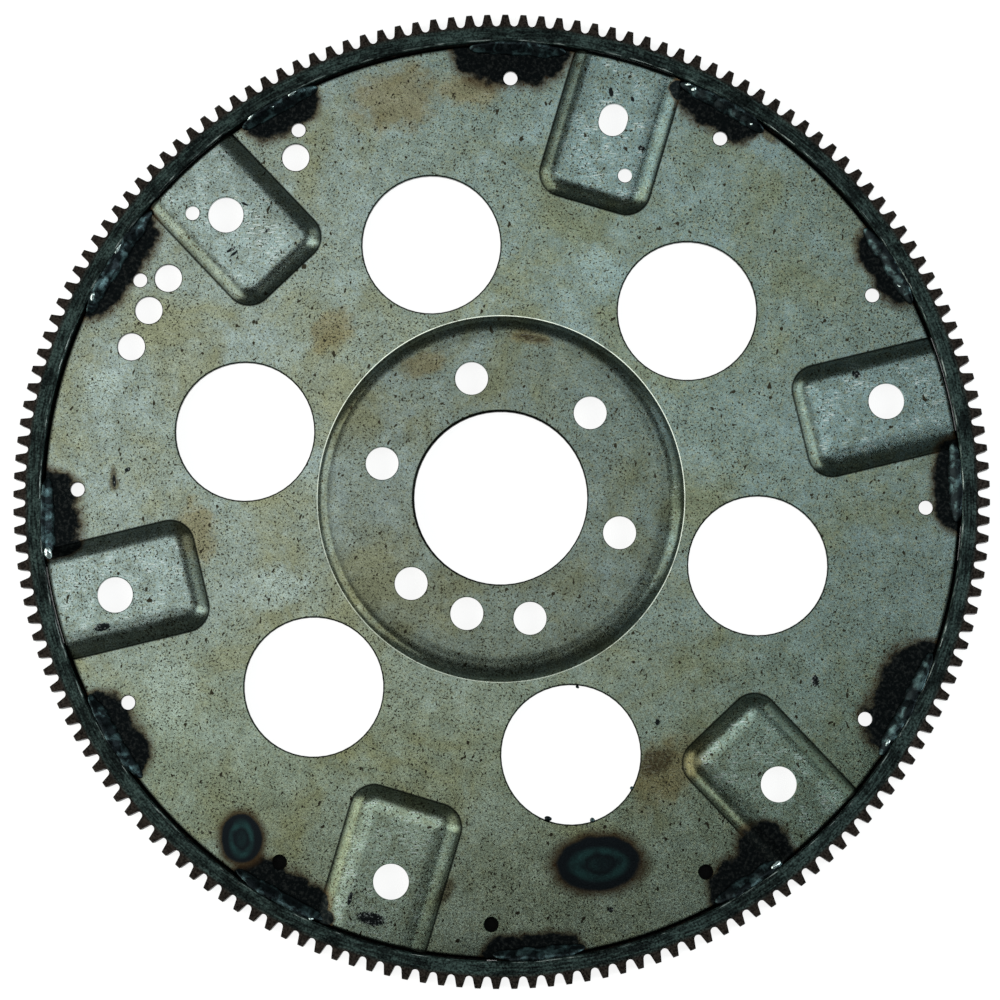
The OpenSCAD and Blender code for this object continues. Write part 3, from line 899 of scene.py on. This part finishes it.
def makeJointScaleAndShade():
    inner, middle, outer = jointScaleAndShade["radii"]
    height = webTop - jointScaleAndShade["below"] * mm
    deselectAll()
    bpy.ops.mesh.primitive_circle_add(
        vertices=jointScaleAndShade["steps"], radius=inner * mm, fill_type="NOTHING", location=(0, 0, height))
    piece = bpy.context.object
    piece.name = "jointScaleAndShade"
    piece.data.name = piece.name
    bpy.ops.object.mode_set(mode="EDIT")
    bpy.ops.mesh.select_all(action="SELECT")
    for grow in (middle / inner, outer / middle):
        bpy.ops.mesh.extrude_region_move(TRANSFORM_OT_translate={"value": (0, 0, 0)})
        bpy.ops.transform.resize(value=(grow, grow, 1), center_override=(0, 0, height))
    bpy.ops.mesh.select_all(action="DESELECT")
    bpy.ops.object.mode_set(mode="OBJECT")
    for face in piece.data.polygons:
        angle = math.degrees(math.atan2(face.center.y, face.center.x)) % 360
        gap = any(first < angle < last for first, last in jointScaleAndShade["open"])
        face.select = gap and face.center.xy.length > middle * mm
    bpy.ops.object.mode_set(mode="EDIT")
    bpy.ops.mesh.delete(type="FACE")
    bpy.ops.mesh.select_all(action="SELECT")
    bpy.ops.mesh.normals_make_consistent(inside=False)
    bpy.ops.transform.vertex_random(offset=jointScaleAndShade["roughen"] * mm, uniform=0.0, normal=0.0, seed=3)
    bpy.ops.object.mode_set(mode="OBJECT")
    applyModifier(piece, "SOLIDIFY", "depth", thickness=jointScaleAndShade["thickness"] * mm, offset=0.0)
    placeInMesh(piece)
    finishPiece(piece, jointGrimeAndShade, "weld_metal")


makeJointScaleAndShade()
print("joint scale made")


# floor, lamps, studio walls and camera
floorFinish = {
    "albedo": (0.22, 0.22, 0.22),
    "glow": 0.89,
    "size": 60,            # metres
    "below": 0.2,          # mm under the part
}


def makeFloor():
    deselectAll()
    bpy.ops.mesh.primitive_plane_add(size=floorFinish["size"], location=(0, 0, -floorFinish["below"] * mm))
    floor = bpy.context.object
    floor.name = "studioFloor"
    finish, tree, shader = newFinish("floorWhite", 0.0, 1.0)
    shader.inputs["Base Color"].default_value = (*floorFinish["albedo"], 1)
    shader.inputs["Specular IOR Level"].default_value = 0
    shader.inputs["Emission Color"].default_value = (1, 1, 1, 1)
    path = tree.nodes.new("ShaderNodeLightPath").outputs
    seen = calc(tree, "MAXIMUM", path["Is Camera Ray"], path["Is Glossy Ray"])
    seen = calc(tree, "MAXIMUM", seen, path["Is Transmission Ray"])
    tree.links.new(calc(tree, "MULTIPLY", seen, floorFinish["glow"]), shader.inputs["Emission Strength"])
    # seen from below, the floor is clear and shows the part's underside
    clear = tree.nodes.new("ShaderNodeBsdfTransparent").outputs[0]
    oneSided = tree.nodes.new("ShaderNodeMixShader")
    tree.links.new(tree.nodes.new("ShaderNodeNewGeometry").outputs["Backfacing"], oneSided.inputs[0])
    tree.links.new(shader.outputs[0], oneSided.inputs[1])
    tree.links.new(clear, oneSided.inputs[2])
    tree.links.new(oneSided.outputs[0], tree.nodes["Material Output"].inputs["Surface"])
    floor.data.materials.append(finish)


lamps = [
    {"name": "overhead", "at": (-0.47, 0.18, 2.1), "turn": 15, "size": (1.7, 0.72),
     "radiance": 1.60, "tint": (0.98, 1.0, 1.0)},
    {"name": "leftBox", "at": (-1.33, -0.20, 0.95), "size": (2.1, 1.35),
     "radiance": 3.1, "tint": (1.0, 1.0, 0.90)},
    {"name": "rightBox", "at": (1.18, -0.16, 1.10), "size": (0.5, 1.5),
     "radiance": 4.8, "tint": (0.92, 0.99, 1.0)},
    {"name": "rightFill", "at": (1.08, 0.45, 0.90), "size": (0.60, 1.1),
     "radiance": 1.4, "tint": (0.92, 1.0, 1.0)},
]


def makeLamps():
    for lamp in lamps:
        data = bpy.data.lights.new(lamp["name"], "AREA")
        data.shape = "RECTANGLE"
        data.size, data.size_y = lamp["size"]
        data.energy = lamp["radiance"] * math.pi * data.size * data.size_y
        data.color = lamp["tint"]
        light = bpy.data.objects.new(lamp["name"], data)
        light.location = lamp["at"]
        if "turn" in lamp:  # hangs level
            light.rotation_euler = (0, 0, math.radians(lamp["turn"]))
        else:
            light.rotation_euler = (-Vector(lamp["at"])).to_track_quat("-Z", "Y").to_euler()
        light.visible_camera = False
        bpy.context.scene.collection.objects.link(light)


# glow of the studio's walls, brightest low down; heights are sines of the angle above the horizon
studioWalls = {
    "tint": (0.86, 1.0, 0.97),
    "low": 0.58,
    "middle": 0.19,
    "top": 0.03,
    "lowEnds": (0.20, 0.48),
    "topStarts": (0.86, 0.97),
}


def makeWalls():
    world = bpy.data.worlds.new("studio")
    world.use_nodes = True
    tree = world.node_tree
    apart = tree.nodes.new("ShaderNodeSeparateXYZ")
    tree.links.new(tree.nodes.new("ShaderNodeTexCoord").outputs["Generated"], apart.inputs[0])
    rise = apart.outputs["Z"]
    lowGlow = fade(tree, rise, *studioWalls["lowEnds"], studioWalls["low"], 0.0)
    highGlow = fade(tree, rise, *studioWalls["topStarts"], studioWalls["middle"], studioWalls["top"])
    walls = tree.nodes["Background"]
    walls.inputs["Color"].default_value = (*studioWalls["tint"], 1)
    tree.links.new(calc(tree, "MAXIMUM", lowGlow, highGlow), walls.inputs["Strength"])
    bpy.context.scene.world = world


cameraView = {
    "distance": 1.6,         # metres from the plate
    "leanDown": 4.0,         # degrees off the axis, towards the lower edge of the picture
    "leanRight": 1.0,
    "across": 0.36785,       # metres of the plate's face across the picture
    "aim": (-0.31, -0.55),   # mm from the axis to the picture's middle
}


def makeCamera():
    data = bpy.data.cameras.new("camera")
    data.sensor_width = 36
    data.lens = data.sensor_width * cameraView["distance"] / cameraView["across"]
    camera = bpy.data.objects.new("camera", data)
    bpy.context.scene.collection.objects.link(camera)
    aim = Vector((cameraView["aim"][0] * mm, cameraView["aim"][1] * mm, webTop))
    back = Vector((math.tan(math.radians(cameraView["leanRight"])),
                   -math.tan(math.radians(cameraView["leanDown"])), 1)).normalized()
    right = Vector((0, 1, 0)).cross(back).normalized()
    up = back.cross(right)
    camera.matrix_world = Matrix.Translation(aim + back * cameraView["distance"]) @ Matrix(
        (right, up, back)).transposed().to_4x4()
    bpy.context.scene.camera = camera


makeFloor()
makeLamps()
makeWalls()
makeCamera()
bpy.context.scene.view_settings.view_transform = "Standard"
print("floor, lamps and camera made")
